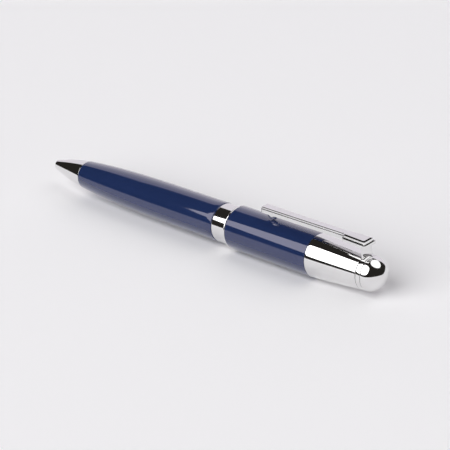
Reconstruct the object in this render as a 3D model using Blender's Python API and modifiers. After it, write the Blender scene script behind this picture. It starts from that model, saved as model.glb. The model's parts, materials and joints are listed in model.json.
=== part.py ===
# Twist-action ballpoint pen. It lies along X with its nose at -X and its clip on top.
# Its refill is drawn in. Every station is a distance along the pen from the front face of the nose.

import math

import bmesh
import bpy

mm = 0.001

# Facets of the round pieces, and the edge angle from which they are shaded sharp
round_steps = 32
small_steps = 20
post_steps = 16
nut_steps = 6
corner_steps = 4
empty_size = 5.0 * mm
sharp_angle = math.radians(30)

# Outside lengths. The two barrels are as long as the refill and the mechanism inside them need
nose_length = 13.65 * mm
centre_ring_length = 6.0 * mm
sleeve_length = 18.0 * mm
clip_ring_length = 1.5 * mm
dome_length = 4.7 * mm
seam = 0.1 * mm

# How full the curved outlines are: 1 is a straight cone, and more swells sooner
nose_fullness = 1.45
lower_fullness = 3.9
sleeve_fullness = 1.15
dome_fullness = 0.6

# Fits
fixed_fit = 0.05 * mm
running_fit = 0.1 * mm
face_gap = 0.05 * mm
edge_round = 0.3 * mm
small_round = 0.1 * mm

# Refill, of the standard short and thick kind
refill_length = 98.0 * mm
refill_radius = 2.95 * mm
refill_tube_wall = 0.25 * mm
point_length = 11.0 * mm
point_radius = 1.15 * mm
point_cone_length = 3.0 * mm
ink_bore_radius = 0.3 * mm
ball_radius = 0.5 * mm
ball_show = 0.35 * mm
socket_wall = 0.06 * mm
neck_front_radius = 2.3 * mm
neck_taper = 2.0 * mm
neck_spigot_length = 3.0 * mm
end_cap_length = 1.2 * mm
end_cap_spigot = 3.0 * mm
ink_air = 7.75 * mm

# Travel: how deep the ball sits at rest, how far it comes out, and the turn that does it
tip_setback = 1.25 * mm
refill_travel = 4.5 * mm
twist_turn = math.pi

# Nose
mouth_length = 3.95 * mm
nose_lip = 0.3 * mm
nose_tip_round = 0.15 * mm
spigot_wall = 0.4 * mm
nose_spigot_length = 5.5 * mm
refill_room = 0.15 * mm
refill_stop_room = 0.4 * mm

# Return spring
spring_wire = 0.35 * mm
spring_turns = 7
spring_points = 10

# Bushes and the lower barrel's walls
nose_bush_wall = 0.35 * mm
nose_bush_length = 6.0 * mm
lower_front_wall = 0.35 * mm
rear_bush_wall = 0.65 * mm
rear_bush_length = 12.0 * mm
bush_inset = 0.1 * mm
lower_rear_wall = 0.55 * mm
lower_middle_wall = 0.4 * mm
front_seat_room = 0.4 * mm
rear_seat_room = 0.8 * mm
lower_front_round = 0.21 * mm
nose_step = 0.1 * mm
ring_step = 0.03 * mm
ring_lip_length = 0.55 * mm
ring_lip_step = 0.1 * mm

# Twist mechanism
slider_wall = 0.8 * mm
slider_socket_depth = 4.0 * mm
slider_floor_front = 1.0 * mm
slider_floor_rear = 1.0 * mm
pin_radius = 0.6 * mm
pin_foot = 3.2 * mm
pin_room = 0.09 * mm
cam_slot_points = 30
base_wall = 0.65 * mm
base_inset = 0.2 * mm
base_lip_radius = 2.5 * mm
base_lip_length = 3.7 * mm
collar_length = 1.5 * mm
collar_step = 0.15 * mm
base_neck_length = 10.9 * mm
cam_stop_length = 1.0 * mm
cam_wall = 0.8 * mm
cam_margin = 3.2 * mm
o_ring_groove_depth = 0.15 * mm
clip_groove_depth = 0.45 * mm
retaining_ring_length = 0.5 * mm
retaining_ring_gap = 3.0 * mm

# Upper barrel, its liner and the sleeve's spigot
liner_wall = 0.45 * mm
liner_inset = 0.5 * mm
upper_wall = 0.55 * mm
sleeve_spigot_length = 6.65 * mm
sleeve_spigot_wall = 0.7 * mm

# Clip end
sleeve_rear_radius = 5.2 * mm
sleeve_wall = 0.9 * mm
web_length = 3.0 * mm
end_step = 0.05 * mm
stud_radius = 1.25 * mm
stud_tail = 0.8 * mm
stud_hole_depth = 3.0 * mm
stud_end_room = 0.2 * mm
nut_width = 5.0 * mm
nut_height = 1.8 * mm
washer_radius = 2.4 * mm
washer_length = 0.5 * mm
washer_gap = 0.8 * mm

# Clip: widths are whole widths, and heights are taken from the upper barrel's surface.
# The head's edges are stepped: a shallow bevel, an upright riser and a second bevel like the first
clip_reach = 39.2 * mm
arm_end_width = 3.05 * mm
arm_root_width = 2.65 * mm
arm_corner = 0.6 * mm
arm_gap = 2.05 * mm
arm_end_thickness = 1.7 * mm
arm_root_thickness = 1.78 * mm
head_length = 9.6 * mm
head_overhang = 1.75 * mm
head_front_width = 4.3 * mm
head_rear_width = 5.0 * mm
head_thickness = 1.85 * mm
head_flare = 1.1 * mm
head_bevel = 0.48 * mm
head_bevel_drop = 0.2 * mm
head_riser = 0.6 * mm
head_lap = 0.25 * mm
neck_width = 3.9 * mm
neck_thickness = 0.6 * mm
neck_margin = 0.05 * mm
foot_gap = 0.12 * mm
bump_setback = 3.9 * mm
bump_radius = 1.2 * mm
bump_gap = 0.1 * mm
weld_depth = 0.3 * mm

# Radii, stacked from the refill outwards
mouth_radius = point_radius + running_fit
nose_tip_radius = mouth_radius + nose_lip
refill_chamber_radius = refill_radius + refill_room
nose_spigot_radius = refill_chamber_radius + spigot_wall
nose_bush_bore = nose_spigot_radius + fixed_fit
nose_bush_radius = nose_bush_bore + nose_bush_wall
lower_front_bore = nose_bush_radius + fixed_fit
lower_front_radius = lower_front_bore + lower_front_wall
nose_rear_radius = lower_front_radius - nose_step
slider_bore = refill_radius + fixed_fit
slider_radius = slider_bore + slider_wall
base_bore = slider_radius + running_fit
base_radius = base_bore + base_wall
rear_bush_bore = base_radius + fixed_fit
rear_bush_radius = rear_bush_bore + rear_bush_wall
lower_rear_bore = rear_bush_radius + fixed_fit
lower_rear_radius = lower_rear_bore + lower_rear_wall
centre_ring_radius = lower_rear_radius - ring_step
cam_bore = base_radius + running_fit
cam_radius = cam_bore + cam_wall
collar_radius = cam_radius - collar_step
liner_bore = cam_radius + fixed_fit
liner_radius = liner_bore + liner_wall
upper_bore = liner_radius + fixed_fit
upper_radius = upper_bore + upper_wall
clip_ring_radius = sleeve_rear_radius - end_step
dome_radius = clip_ring_radius - end_step
stud_bore = stud_radius + fixed_fit

# Stations of the refill and the mechanism
shoulder_station = tip_setback + point_length
refill_rear = tip_setback + refill_length
pin_station = refill_rear + slider_floor_front + pin_radius + fixed_fit
slider_rear = pin_station + pin_radius + fixed_fit + slider_floor_rear
slider_front = refill_rear - slider_socket_depth
cam_front = pin_station - refill_travel - cam_margin
cam_rear = pin_station + cam_margin
cam_stop_rear = cam_front - running_fit
cam_stop_front = cam_stop_rear - cam_stop_length
retaining_front = cam_rear + running_fit
base_rear = slider_rear + running_fit + base_lip_length
collar_rear = cam_stop_front - base_neck_length
collar_front = collar_rear - collar_length

# Stations of the outside pieces
lower_front = nose_length + seam
centre_ring_rear = collar_front - face_gap
centre_ring_front = centre_ring_rear - centre_ring_length
lower_rear = centre_ring_front - seam
upper_front = centre_ring_rear + seam
sleeve_spigot_front = retaining_front + retaining_ring_length + running_fit
upper_rear = sleeve_spigot_front + sleeve_spigot_length
sleeve_front = upper_rear + seam
sleeve_rear = sleeve_front + sleeve_length
clip_ring_front = sleeve_rear + seam
clip_ring_rear = clip_ring_front + clip_ring_length
dome_front = clip_ring_rear + seam
pen_length = dome_front + dome_length

# The upper barrel lies on one of its facets
axis_height = upper_radius * math.cos(math.pi / round_steps)

# The clip's places, in the same stations and in heights above the pen's axis
neck_front = clip_ring_front + neck_margin
neck_station = neck_front + neck_thickness / 2
arm_end = neck_station - clip_reach
head_rear = neck_station + head_overhang
head_front = head_rear - head_length
clip_bottom = upper_radius + arm_gap
flex_height = clip_ring_radius + foot_gap

steel_grey = (0.62, 0.62, 0.63)
chrome_grey = (0.80, 0.80, 0.82)
brass_gold = (0.72, 0.53, 0.25)
lacquer_blue = (0.012, 0.028, 0.095)


def clear_scene():
    for obj in list(bpy.data.objects):
        bpy.data.objects.remove(obj, do_unlink=True)


def new_collection(name):
    collection = bpy.data.collections.new(name)
    bpy.context.scene.collection.children.link(collection)
    return collection


def paint(obj, colour, roughness, metallic):
    material = bpy.data.materials.new(obj.name)
    material.use_nodes = True
    shader = material.node_tree.nodes["Principled BSDF"]
    shader.inputs["Base Color"].default_value = (*colour, 1.0)
    shader.inputs["Roughness"].default_value = roughness
    shader.inputs["Metallic"].default_value = metallic
    obj.data.materials.append(material)


def smoothing_group():
    """Nodes that shade a piece smooth and keep its edges above the sharp angle crisp."""
    group = bpy.data.node_groups.new("smooth_by_angle", "GeometryNodeTree")
    group.interface.new_socket("Geometry", in_out="INPUT", socket_type="NodeSocketGeometry")
    group.interface.new_socket("Geometry", in_out="OUTPUT", socket_type="NodeSocketGeometry")
    source = group.nodes.new("NodeGroupInput")
    result = group.nodes.new("NodeGroupOutput")
    smooth_faces = group.nodes.new("GeometryNodeSetShadeSmooth")
    sharp_edges = group.nodes.new("GeometryNodeSetShadeSmooth")
    sharp_edges.domain = "EDGE"
    sharp_edges.inputs["Shade Smooth"].default_value = False
    edge_angle = group.nodes.new("GeometryNodeInputMeshEdgeAngle")
    above = group.nodes.new("FunctionNodeCompare")
    above.operation = "GREATER_THAN"
    above.inputs["B"].default_value = sharp_angle
    group.links.new(edge_angle.outputs["Unsigned Angle"], above.inputs["A"])
    group.links.new(above.outputs["Result"], sharp_edges.inputs["Selection"])
    group.links.new(source.outputs["Geometry"], smooth_faces.inputs["Geometry"])
    group.links.new(smooth_faces.outputs["Geometry"], sharp_edges.inputs["Geometry"])
    group.links.new(sharp_edges.outputs["Geometry"], result.inputs["Geometry"])
    return group


def shade_round(obj):
    modifier = obj.modifiers.new("smooth by angle", "NODES")
    modifier.node_group = smoothing


def chrome(obj):
    paint(obj, chrome_grey, 0.06, 1.0)


def brass(obj):
    paint(obj, brass_gold, 0.3, 1.0)


def steel(obj):
    paint(obj, steel_grey, 0.3, 1.0)


def lacquer(obj):
    paint(obj, lacquer_blue, 0.08, 0.0)


def plastic(obj, colour=(0.05, 0.05, 0.055)):
    paint(obj, colour, 0.45, 0.0)


def world_point(station, across=0.0, above_axis=0.0):
    return (station - pen_length / 2, across, axis_height + above_axis)


def add_object(name, data, collection, carrier=None, place=(0.0, 0.0, 0.0)):
    """Puts the object at a place in the world, as a child of the empty that carries it."""
    obj = bpy.data.objects.new(name, data)
    collection.objects.link(obj)
    obj.parent = carrier
    origin = carrier.matrix_world.translation if carrier else (0.0, 0.0, 0.0)
    obj.location = [a - b for a, b in zip(place, origin)]
    return obj


def add_empty(name, place, carrier=None):
    empty = add_object(name, None, pen, carrier, place)
    empty.empty_display_size = empty_size
    bpy.context.view_layer.update()
    return empty


def make_cutter(obj):
    obj.hide_render = True
    obj.display_type = "WIRE"
    return obj


def cut(obj, cutter, operation="DIFFERENCE"):
    modifier = obj.modifiers.new(operation.lower() + " " + cutter.name, "BOOLEAN")
    modifier.operation = operation
    modifier.solver = "EXACT"
    modifier.object = cutter


def turn_profile(name, points, closed, steps, collection, carrier):
    """Turns (station, radius) points about the pen's axis. The object's own Z runs along the pen."""
    half_facet = math.pi / steps
    verts = [(r * math.cos(half_facet), r * math.sin(half_facet), station) for station, r in points]
    edges = [(i, i + 1) for i in range(len(points) - 1)]
    if closed:
        edges.append((len(points) - 1, 0))
    mesh = bpy.data.meshes.new(name)
    mesh.from_pydata(verts, edges, [])
    obj = add_object(name, mesh, collection, carrier, world_point(0.0))
    obj.rotation_euler = (0.0, math.pi / 2, 0.0)
    turn(obj, steps)
    return obj


def turn(obj, steps):
    screw = obj.modifiers.new("turn", "SCREW")
    screw.axis = "Z"
    screw.angle = 2 * math.pi
    screw.steps = steps
    screw.render_steps = steps
    screw.use_merge_vertices = True
    screw.merge_threshold = 0.00001


def turned_tube(name, outside, inside, steps=round_steps, collection=None, carrier=None):
    """A tube or ring: its outside and its bore, each as (station, radius) points from front to rear."""
    points = outside[::-1] + inside
    return turn_profile(name, points, True, steps, collection or pen, carrier)


def turned_solid(name, outside, steps=small_steps, collection=None, carrier=None):
    """A turned piece with no bore, from (station, radius) points from front to rear."""
    points = [(outside[-1][0], 0.0)] + outside[::-1] + [(outside[0][0], 0.0)]
    return turn_profile(name, points, False, steps, collection or pen, carrier)


def straight(front, rear, radius):
    return [(front, radius), (rear, radius)]


def rounded_front(front, radius, size=edge_round):
    return [(front, radius - size), (front + 0.3 * size, radius - 0.3 * size), (front + size, radius)]


def rounded_rear(rear, radius, size=edge_round):
    return [(rear - size, radius), (rear - 0.3 * size, radius - 0.3 * size), (rear, radius - size)]


def swelling(front, rear, front_radius, rear_radius, fullness, shares):
    """Points at shares of the length on an outline that widens fast at first and then runs level."""
    return [
        (front + t * (rear - front), rear_radius - (rear_radius - front_radius) * (1 - t) ** fullness)
        for t in shares
    ]


def add_box(name, low, high, collection, carrier=None):
    """A box between two corners, each a (station, across, above the axis)."""
    work = bmesh.new()
    bmesh.ops.create_cube(work, size=1.0)
    bmesh.ops.scale(work, vec=[b - a for a, b in zip(low, high)], verts=work.verts)
    mesh = bpy.data.meshes.new(name)
    work.to_mesh(mesh)
    work.free()
    middle = [(a + b) / 2 for a, b in zip(low, high)]
    return add_object(name, mesh, collection, carrier, world_point(*middle))


def add_post(name, station, low, high, radius, collection, carrier=None):
    """An upright cylinder between two heights above the pen's axis."""
    work = bmesh.new()
    bmesh.ops.create_cone(
        work,
        cap_ends=True,
        segments=post_steps,
        radius1=radius,
        radius2=radius,
        depth=high - low,
    )
    mesh = bpy.data.meshes.new(name)
    work.to_mesh(mesh)
    work.free()
    middle = (low + high) / 2
    return add_object(name, mesh, collection, carrier, world_point(station, 0.0, middle))


def add_plate(name, outline, low, high, collection, carrier=None):
    """A flat plate: its (station, across) outline, between two heights above the pen's axis."""
    half = (high - low) / 2
    return mesh_of_outline(name, outline, half, collection, carrier, low + half, False)


def mesh_of_outline(name, outline, half_depth, collection, carrier, height, upright):
    """An outline given a depth to both sides, lying flat or stood upright along the pen."""
    curve = bpy.data.curves.new(name, "CURVE")
    curve.dimensions = "2D"
    curve.fill_mode = "BOTH"
    curve.extrude = half_depth
    spline = curve.splines.new("POLY")
    spline.points.add(len(outline) - 1)
    for point, (first, second) in zip(spline.points, outline):
        point.co = (first, second, 0.0, 1.0)
    spline.use_cyclic_u = True
    guide = add_object(name + "_outline", curve, collection, carrier, world_point(0.0, 0.0, height))
    if upright:
        guide.rotation_euler = (math.pi / 2, 0.0, 0.0)
    return curve_to_mesh(guide, name, collection)


def curve_to_mesh(guide, name, collection):
    """Takes a curve's evaluated shape as a mesh, welds its caps and removes the curve."""
    bpy.context.view_layer.update()
    graph = bpy.context.evaluated_depsgraph_get()
    mesh = bpy.data.meshes.new_from_object(guide.evaluated_get(graph))
    work = bmesh.new()
    work.from_mesh(mesh)
    bmesh.ops.remove_doubles(work, verts=work.verts, dist=0.000001)
    bmesh.ops.recalc_face_normals(work, faces=work.faces)
    work.to_mesh(mesh)
    work.free()
    mesh.name = name
    obj = bpy.data.objects.new(name, mesh)
    collection.objects.link(obj)
    obj.parent = guide.parent
    obj.matrix_world = guide.matrix_world
    bpy.data.objects.remove(guide, do_unlink=True)
    return obj


def add_wire(name, points, radius, resolution, collection, carrier=None, place=(0.0, 0.0, 0.0)):
    """A round wire along points that are given from its place."""
    curve = bpy.data.curves.new(name, "CURVE")
    curve.dimensions = "3D"
    curve.bevel_depth = radius
    curve.bevel_resolution = resolution
    curve.use_fill_caps = True
    spline = curve.splines.new("POLY")
    spline.points.add(len(points) - 1)
    for point, co in zip(spline.points, points):
        point.co = (*co, 1.0)
    return add_object(name, curve, collection, carrier, place)


# Lower body


def nose_cone():
    outer = [(0.0, nose_tip_radius - nose_tip_round), (nose_tip_round, nose_tip_radius)]
    shares = [0.06, 0.15, 0.28, 0.42, 0.58, 0.76, 1.0]
    outer += swelling(0.0, nose_length, nose_tip_radius, nose_rear_radius, nose_fullness, shares)
    spigot_end = nose_length + nose_spigot_length
    outer += straight(nose_length, spigot_end, nose_spigot_radius)
    shoulder_stop = shoulder_station - refill_travel - refill_stop_room
    spring_chamber_radius = spring_mean_radius() + spring_wire / 2 + refill_room
    inner = [
        (0.0, mouth_radius),
        (mouth_length, mouth_radius),
        (mouth_length, spring_chamber_radius),
        (shoulder_stop, spring_chamber_radius),
        (shoulder_stop, neck_front_radius + refill_room),
        (shoulder_stop + neck_taper, refill_chamber_radius),
        (spigot_end, refill_chamber_radius),
    ]
    chrome(turned_tube("nose_cone", outer, inner))


def nose_bush():
    front = lower_front + bush_inset
    rear = front + nose_bush_length
    outer = straight(front, rear, nose_bush_radius)
    inner = straight(front, rear, nose_bush_bore)
    brass(turned_tube("nose_bush", outer, inner))


def lower_barrel():
    """Its bore follows its outline between the two seats, so that its wall is even there."""
    shares = [0.02, 0.06, 0.12, 0.2, 0.3, 0.43, 0.6, 0.8]
    outline = swelling(
        lower_front, lower_rear, lower_front_radius, lower_rear_radius, lower_fullness, shares
    )
    outer = rounded_front(lower_front, lower_front_radius, lower_front_round)[:2]
    outer += outline + rounded_rear(lower_rear, lower_rear_radius)
    front_seat_end = lower_front + bush_inset + nose_bush_length + front_seat_room
    rear_seat_start = lower_rear - bush_inset - rear_bush_length - rear_seat_room
    inner = straight(lower_front, front_seat_end, lower_front_bore)
    for station, radius in outline:
        if front_seat_end + edge_round < station < rear_seat_start - edge_round:
            inner.append((station, radius - lower_middle_wall))
    inner += straight(rear_seat_start, lower_rear, lower_rear_bore)
    lacquer(turned_tube("lower_barrel", outer, inner))


def rear_bush():
    rear = lower_rear - bush_inset
    front = rear - rear_bush_length
    outer = straight(front, rear, rear_bush_radius)
    inner = straight(front, rear, rear_bush_bore)
    brass(turned_tube("rear_bush", outer, inner))


def centre_ring():
    outer = rounded_front(centre_ring_front, centre_ring_radius)
    lip_front = centre_ring_rear - ring_lip_length
    lip_radius = upper_radius - ring_lip_step
    outer += [(lip_front, centre_ring_radius)]
    outer += rounded_front(lip_front, lip_radius, small_round)
    outer += rounded_rear(centre_ring_rear, lip_radius, small_round)
    inner = straight(centre_ring_front, centre_ring_rear, rear_bush_bore)
    chrome(turned_tube("centre_ring", outer, inner))


def o_ring_station():
    return (collar_rear + cam_stop_front) / 2


def o_ring_radius():
    return (liner_bore - (base_radius - o_ring_groove_depth)) / 2 - fixed_fit


def mechanism_base():
    front = lower_rear - rear_bush_length + base_inset
    groove_half = o_ring_radius() + fixed_fit
    groove_front = o_ring_station() - groove_half
    groove_rear = o_ring_station() + groove_half
    ring_groove_front = retaining_front - face_gap
    ring_groove_rear = retaining_front + retaining_ring_length + face_gap
    outer = straight(front, collar_front, base_radius)
    outer += straight(collar_front, collar_rear, collar_radius)
    outer += straight(collar_rear, groove_front, base_radius)
    outer += straight(groove_front, groove_rear, base_radius - o_ring_groove_depth)
    outer += straight(groove_rear, cam_stop_front, base_radius)
    outer += straight(cam_stop_front, cam_stop_rear, collar_radius)
    outer += straight(cam_stop_rear, ring_groove_front, base_radius)
    outer += straight(ring_groove_front, ring_groove_rear, base_radius - clip_groove_depth)
    outer += straight(ring_groove_rear, base_rear, base_radius)
    lip_front = slider_rear + running_fit
    inner = [
        (front, base_bore),
        (lip_front, base_bore),
        (lip_front, base_lip_radius),
        (base_rear, base_lip_radius),
    ]
    base = turned_tube("mechanism_base", outer, inner)
    half_slot = pin_radius + pin_room
    slot = add_box(
        "straight_slot",
        (pin_station - refill_travel - half_slot, -half_slot, base_bore / 2),
        (pin_station + half_slot, half_slot, base_radius + base_wall),
        cutters,
    )
    cut(base, make_cutter(slot))
    brass(base)


def friction_o_ring():
    middle = (liner_bore + base_radius - o_ring_groove_depth) / 2
    around = 8
    points = []
    for i in range(around):
        angle = 2 * math.pi * (i + 0.5) / around
        station = o_ring_station() + o_ring_radius() * math.cos(angle)
        points.append((station, middle + o_ring_radius() * math.sin(angle)))
    ring = turn_profile("friction_o_ring", points, True, round_steps, pen, None)
    paint(ring, (0.02, 0.02, 0.02), 0.6, 0.0)


def retaining_ring():
    outer_radius = (base_radius + cam_radius) / 2
    inner_radius = base_radius - clip_groove_depth + fixed_fit
    rear = retaining_front + retaining_ring_length
    outer = straight(retaining_front, rear, outer_radius)
    inner = straight(retaining_front, rear, inner_radius)
    ring = turned_tube("retaining_ring", outer, inner)
    opening = add_box(
        "retaining_ring_opening",
        (retaining_front - running_fit, -retaining_ring_gap / 2, -2 * outer_radius),
        (rear + running_fit, retaining_ring_gap / 2, 0.0),
        cutters,
    )
    cut(ring, make_cutter(opening))
    steel(ring)


def spring_mean_radius():
    return mouth_radius + running_fit + spring_wire / 2


def return_spring():
    start = mouth_length + face_gap + spring_wire / 2
    end = shoulder_station - face_gap - spring_wire / 2
    count = spring_turns * spring_points
    points = []
    for i in range(count + 1):
        angle = 2 * math.pi * i / spring_points
        across = spring_mean_radius() * math.sin(angle)
        above = spring_mean_radius() * math.cos(angle)
        points.append((start + (end - start) * i / count, across, above))
    spring = add_wire("return_spring", points, spring_wire / 2, 2, pen, None, world_point(0.0))
    steel(spring)


# Refill and what moves with it


def refill_ball():
    work = bmesh.new()
    bmesh.ops.create_uvsphere(work, u_segments=16, v_segments=10, radius=ball_radius)
    mesh = bpy.data.meshes.new("refill_ball")
    work.to_mesh(mesh)
    work.free()
    place = world_point(tip_setback + ball_radius)
    ball = add_object("refill_ball", mesh, pen, refill_slide, place)
    ball.rotation_euler = (0.0, math.pi / 2, 0.0)
    steel(ball)


def refill_point():
    ball_centre = tip_setback + ball_radius
    socket_radius = ball_radius + fixed_fit
    rim = tip_setback + ball_show
    rim_bore = math.sqrt(socket_radius**2 - (ball_centre - rim) ** 2)
    cone_end = tip_setback + point_cone_length
    rear = shoulder_station + neck_taper
    outer = [(rim, rim_bore + socket_wall), (cone_end, point_radius), (rear, point_radius)]
    inner = [(rim, rim_bore)]
    for share in (0.0, 0.35, 0.7):
        angle = share * math.acos(ink_bore_radius / socket_radius)
        inner.append((ball_centre + socket_radius * math.sin(angle), socket_radius * math.cos(angle)))
    throat = ball_centre + math.sqrt(socket_radius**2 - ink_bore_radius**2)
    inner += [(throat, ink_bore_radius), (rear, ink_bore_radius)]
    brass(turned_tube("refill_point", outer, inner, small_steps, pen, refill_slide))


def neck_rear():
    return shoulder_station + neck_taper + neck_spigot_length


def refill_neck():
    taper_rear = shoulder_station + neck_taper
    spigot_radius = refill_radius - refill_tube_wall - fixed_fit
    outer = [(shoulder_station, neck_front_radius), (taper_rear, refill_radius)]
    outer += straight(taper_rear, neck_rear(), spigot_radius)
    inner = straight(shoulder_station, neck_rear(), point_radius + fixed_fit)
    brass(turned_tube("refill_neck", outer, inner, small_steps, pen, refill_slide))


def refill_tube():
    front = shoulder_station + neck_taper + face_gap
    rear = refill_rear - end_cap_length - face_gap
    outer = straight(front, rear, refill_radius)
    inner = straight(front, rear, refill_radius - refill_tube_wall)
    steel(turned_tube("refill_tube", outer, inner, small_steps, pen, refill_slide))


def ink_column():
    front = neck_rear() + face_gap
    rear = refill_rear - end_cap_length - end_cap_spigot - ink_air
    radius = refill_radius - refill_tube_wall - fixed_fit
    ink = turned_solid("ink_column", straight(front, rear, radius), carrier=refill_slide)
    paint(ink, (0.01, 0.02, 0.12), 0.2, 0.0)


def refill_end_cap():
    flange_front = refill_rear - end_cap_length
    spigot_radius = refill_radius - refill_tube_wall - fixed_fit
    outer = [
        (flange_front - end_cap_spigot, spigot_radius),
        (flange_front, spigot_radius),
        (flange_front, refill_radius),
        (refill_rear, refill_radius),
    ]
    plastic(turned_solid("refill_end_cap", outer, carrier=refill_slide), (0.5, 0.5, 0.5))


def slider():
    floor = refill_rear + face_gap
    outer = straight(slider_front, slider_rear, slider_radius)
    points = [(slider_rear, 0.0)] + outer[::-1]
    points += [(slider_front, slider_bore), (floor, slider_bore), (floor, 0.0)]
    body = turn_profile("slider", points, False, small_steps, pen, refill_slide)
    reach = slider_radius + pin_radius
    hole_radius = pin_radius + fixed_fit / 2
    cross_hole = add_post("slider_cross_hole", pin_station, -reach, reach, hole_radius, cutters)
    cut(body, make_cutter(cross_hole))
    plastic(body, (0.75, 0.75, 0.72))


def follower_pin():
    top = cam_radius - running_fit
    pin = add_post("follower_pin", pin_station, -pin_foot, top, pin_radius, pen, refill_slide)
    steel(pin)


# Upper body, which is turned


def cam_sleeve():
    sleeve = turned_tube(
        "cam_sleeve",
        straight(cam_front, cam_rear, cam_radius),
        straight(cam_front, cam_rear, cam_bore),
        round_steps,
        pen,
        upper_twist,
    )
    middle = (cam_bore + cam_radius) / 2
    cutter_radius = math.hypot(pin_radius + pin_room, cam_wall / 2)
    overrun = (pin_radius + pin_room) / middle
    points = []
    for i in range(cam_slot_points + 1):
        angle = -overrun + (twist_turn + 2 * overrun) * i / cam_slot_points
        station = pin_station - refill_travel * angle / twist_turn
        points.append((station, middle * math.sin(angle), middle * math.cos(angle)))
    path = add_wire("helical_slot_path", points, cutter_radius, 3, cutters, None, world_point(0.0))
    cut(sleeve, make_cutter(curve_to_mesh(path, "helical_slot", cutters)))
    steel(sleeve)


def upper_liner():
    front = collar_rear + liner_inset
    rear = upper_rear - liner_inset
    outer = straight(front, rear, liner_radius)
    inner = straight(front, rear, liner_bore)
    brass(turned_tube("upper_liner", outer, inner, round_steps, pen, upper_twist))


def upper_barrel():
    outer = rounded_front(upper_front, upper_radius)
    outer += rounded_rear(upper_rear, upper_radius, small_round)
    inner = straight(upper_front, upper_rear, upper_bore)
    lacquer(turned_tube("upper_barrel", outer, inner, round_steps, pen, upper_twist))


def sleeve_outline(t):
    drop = (upper_radius - sleeve_rear_radius) * t**sleeve_fullness
    return sleeve_front + t * sleeve_length, upper_radius - drop


def top_sleeve():
    spigot_radius = liner_bore - fixed_fit
    spigot_bore = spigot_radius - sleeve_spigot_wall
    web_front = sleeve_rear - web_length
    outer = straight(sleeve_spigot_front, sleeve_front, spigot_radius)
    outer += [sleeve_outline(t) for t in (0.0, 0.12, 0.27, 0.43, 0.62, 0.82, 0.99)]
    outer += [(sleeve_rear, sleeve_rear_radius - small_round)]
    cavity_end = sleeve_outline(1 - web_length / sleeve_length)[1] - sleeve_wall
    inner = straight(sleeve_spigot_front, sleeve_front, spigot_bore)
    inner += [(web_front, min(cavity_end, spigot_bore))]
    inner += straight(web_front, sleeve_rear, stud_bore)
    chrome(turned_tube("top_sleeve", outer, inner, round_steps, pen, upper_twist))


def clamp_stations():
    """Fronts and rears of the washer and the nut, in front of the sleeve's web."""
    washer_rear = sleeve_rear - web_length - face_gap
    washer_front = washer_rear - washer_length
    nut_rear = washer_front - face_gap
    return washer_front, washer_rear, nut_rear - nut_height, nut_rear


def clamp_stud():
    nut_front = clamp_stations()[2]
    rear = dome_front + stud_hole_depth - stud_end_room
    outer = straight(nut_front - stud_tail, rear, stud_radius)
    steel(turned_solid("clamp_stud", outer, carrier=upper_twist))


def stud_nut():
    front, rear = clamp_stations()[2:]
    corner_radius = nut_width / 2 / math.cos(math.pi / nut_steps)
    outer = straight(front, rear, corner_radius)
    nut = turned_solid("stud_nut", outer, nut_steps, carrier=upper_twist)
    through = straight(front - nut_height, rear + nut_height, stud_bore)
    cut(nut, make_cutter(turned_solid("nut_hole", through, small_steps, cutters)))
    brass(nut)


def lock_washer():
    front, rear = clamp_stations()[:2]
    outer = straight(front, rear, washer_radius)
    inner = straight(front, rear, stud_bore + fixed_fit)
    washer = turned_tube("lock_washer", outer, inner, small_steps, pen, upper_twist)
    split = add_box(
        "washer_split",
        (front - washer_length, -washer_gap / 2, 0.0),
        (rear + washer_length, washer_gap / 2, 2 * washer_radius),
        cutters,
    )
    cut(washer, make_cutter(split))
    steel(washer)


def clip_ring():
    outer = rounded_front(clip_ring_front, clip_ring_radius, small_round)
    outer += rounded_rear(clip_ring_rear, clip_ring_radius, small_round)
    inner = straight(clip_ring_front, clip_ring_rear, stud_bore)
    chrome(turned_tube("clip_ring", outer, inner, round_steps, pen, upper_twist))


def end_dome():
    outer = [(dome_front, dome_radius - small_round)]
    for share in (0.03, 0.2, 0.36, 0.52, 0.67, 0.8, 0.9, 0.97):
        radius = dome_radius * (1 - share**2) ** dome_fullness
        outer.append((dome_front + share * dome_length, radius))
    tip = (dome_front + dome_length, 0.0)
    hole_end = dome_front + stud_hole_depth
    points = [tip] + outer[::-1] + [(dome_front, stud_bore), (hole_end, stud_bore), (hole_end, 0.0)]
    chrome(turn_profile("end_dome", points, False, round_steps, pen, upper_twist))


# Clip


def arm_side_outline():
    """The arm seen from the side, as (station, height above the axis)."""
    return [
        (arm_end, clip_bottom),
        (head_front + head_flare, clip_bottom),
        (head_front + head_flare, clip_bottom + arm_root_thickness),
        (arm_end, clip_bottom + arm_end_thickness),
    ]


def arm_plan_outline():
    """The arm seen from above: a square free end with round corners, and sides that draw in to the head."""
    root = head_front + 1.5 * head_flare
    middle = arm_end + arm_corner
    half = arm_end_width / 2 - arm_corner
    outline = [(root, arm_root_width / 2)]
    for corner, side in enumerate((1, -1)):
        for i in range(corner_steps + 1):
            angle = math.pi / 2 * (1 + corner + i / corner_steps)
            across = side * half + arm_corner * math.sin(angle)
            outline.append((middle + arm_corner * math.cos(angle), across))
    outline.append((root, -arm_root_width / 2))
    return outline


def head_level(inset, height):
    """One level of the head: its outline drawn in by the inset, at a height above the axis."""
    half_arm = arm_root_width / 2 - head_lap - inset / 2
    half = [
        (head_front, half_arm),
        (head_front + head_flare, head_front_width / 2 - inset),
        (head_rear - inset, head_rear_width / 2 - inset),
    ]
    outline = half + [(station, -across) for station, across in half[::-1]]
    return [(station, across, height) for station, across in outline]


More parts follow.
